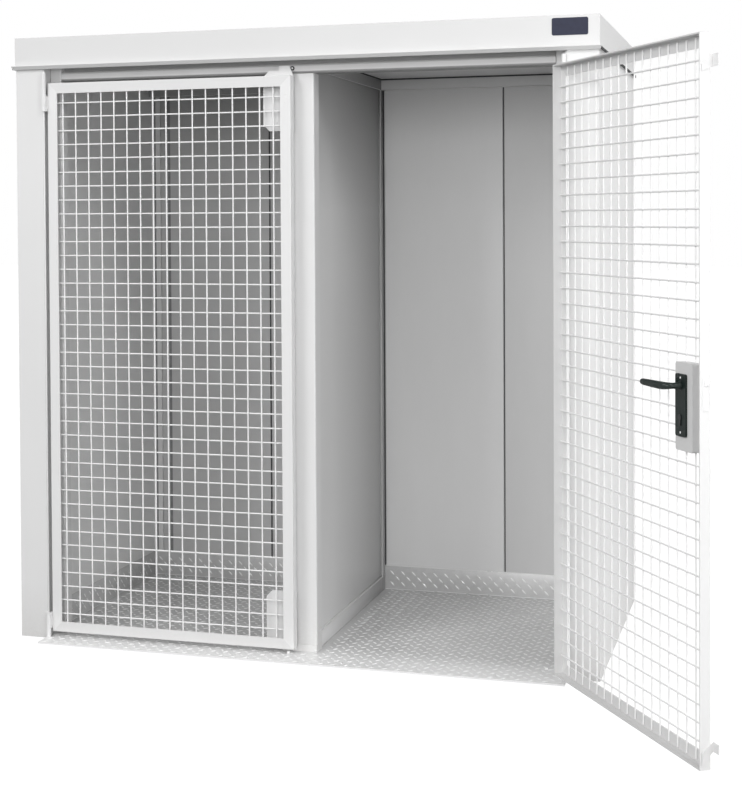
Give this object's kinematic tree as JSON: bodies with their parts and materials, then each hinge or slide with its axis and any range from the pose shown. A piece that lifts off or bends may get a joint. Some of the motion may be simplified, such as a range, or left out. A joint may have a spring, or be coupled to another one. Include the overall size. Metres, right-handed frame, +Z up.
{
  "type": "gas cylinder container",
  "caption": "Walk-up steel storage container with two bays for gas cylinders, wire mesh doors, a floor plate and a flat lid roof.",
  "frame": {"origin": "on the ground under the middle of the body, on the floor plate's underside", "axes": "+Z up, -Y to the front where the doors are, +X to the right seen from the front"},
  "size_m": [2.5258, 1.925, 2.177],
  "materials": {
    "outer_paint": "satin light grey powder coat",
    "wall_lining": "satin mid grey sheet steel lining",
    "tear_plate": "galvanised tread plate with raised tears",
    "mesh_paint": "welded wire coated with the door frames in light grey",
    "hinge_steel": "painted weld-on hinge barrels",
    "lock_steel": "satin light grey lock case",
    "handle_plastic": "black moulded plastic, slightly glossy"
  },
  "bodies": {
    "container": {"floor_plate": "tear_plate", "left_kick_plate": "tear_plate", "right_kick_plate": "tear_plate", "left_front_post": "outer_paint", "right_front_post": "outer_paint", "left_rear_post": "outer_paint", "right_rear_post": "outer_paint", "left_side_wall": "outer_paint", "right_side_wall": "outer_paint", "left_jamb": "outer_paint", "right_jamb": "outer_paint", "back_panel_1": "wall_lining", "back_panel_2": "wall_lining", "back_panel_3": "wall_lining", "back_panel_4": "wall_lining", "left_rear_top_rail": "wall_lining", "right_rear_top_rail": "wall_lining", "mullion": "outer_paint", "mullion_foot": "outer_paint", "header": "outer_paint", "partition_panel": "wall_lining", "partition_rear_stile": "wall_lining", "partition_top_rail": "wall_lining", "partition_left_skirt": "wall_lining", "partition_right_skirt": "wall_lining", "ceiling_panel": "wall_lining", "roof_lid": "outer_paint", "left_top_hinge_post_half": "hinge_steel", "left_bottom_hinge_post_half": "hinge_steel", "right_top_hinge_post_half": "hinge_steel", "right_bottom_hinge_post_half": "hinge_steel"},
    "left_door": {"left_door_hinge_stile": "outer_paint", "left_door_free_stile": "outer_paint", "left_door_top_rail": "outer_paint", "left_door_bottom_rail": "outer_paint", "left_door_mesh": "mesh_paint", "left_door_top_catch_plate": "outer_paint", "left_door_bottom_catch_plate": "outer_paint", "left_top_hinge_door_half": "hinge_steel", "left_bottom_hinge_door_half": "hinge_steel"},
    "right_door": {"right_door_hinge_stile": "outer_paint", "right_door_free_stile": "outer_paint", "right_door_top_rail": "outer_paint", "right_door_bottom_rail": "outer_paint", "right_door_mesh": "mesh_paint", "right_top_hinge_door_half": "hinge_steel", "right_bottom_hinge_door_half": "hinge_steel", "right_door_top_tab": "outer_paint", "right_door_bottom_tab": "outer_paint", "lock_box": "lock_steel", "lock_cylinder": "lock_steel", "inner_handle_plate": "handle_plastic", "outer_handle_plate": "handle_plastic"},
    "lever": {"lever_handle": "handle_plastic"}
  },
  "joints": [
    {"name": "left_door_swing", "type": "hinge", "parent": "container", "child": "left_door", "pos_m": [-0.937, -0.5525, 0], "axis": [0, 0, 1], "range_deg": [-170, 0]},
    {"name": "right_door_swing", "type": "hinge", "parent": "container", "child": "right_door", "pos_m": [0.937, -0.5525, 0], "axis": [0, 0, 1], "range_deg": [-123.5, 46.5]},
    {"name": "lever_turn", "type": "hinge", "parent": "right_door", "child": "lever", "pos_m": [1.39048, -1.25848, 1.057], "axis": [-0.8339, -0.5519, 0], "range_deg": [0, 40], "stiffness_Nm_per_rad": 1.5, "springref_deg": -20.05}
  ]
}
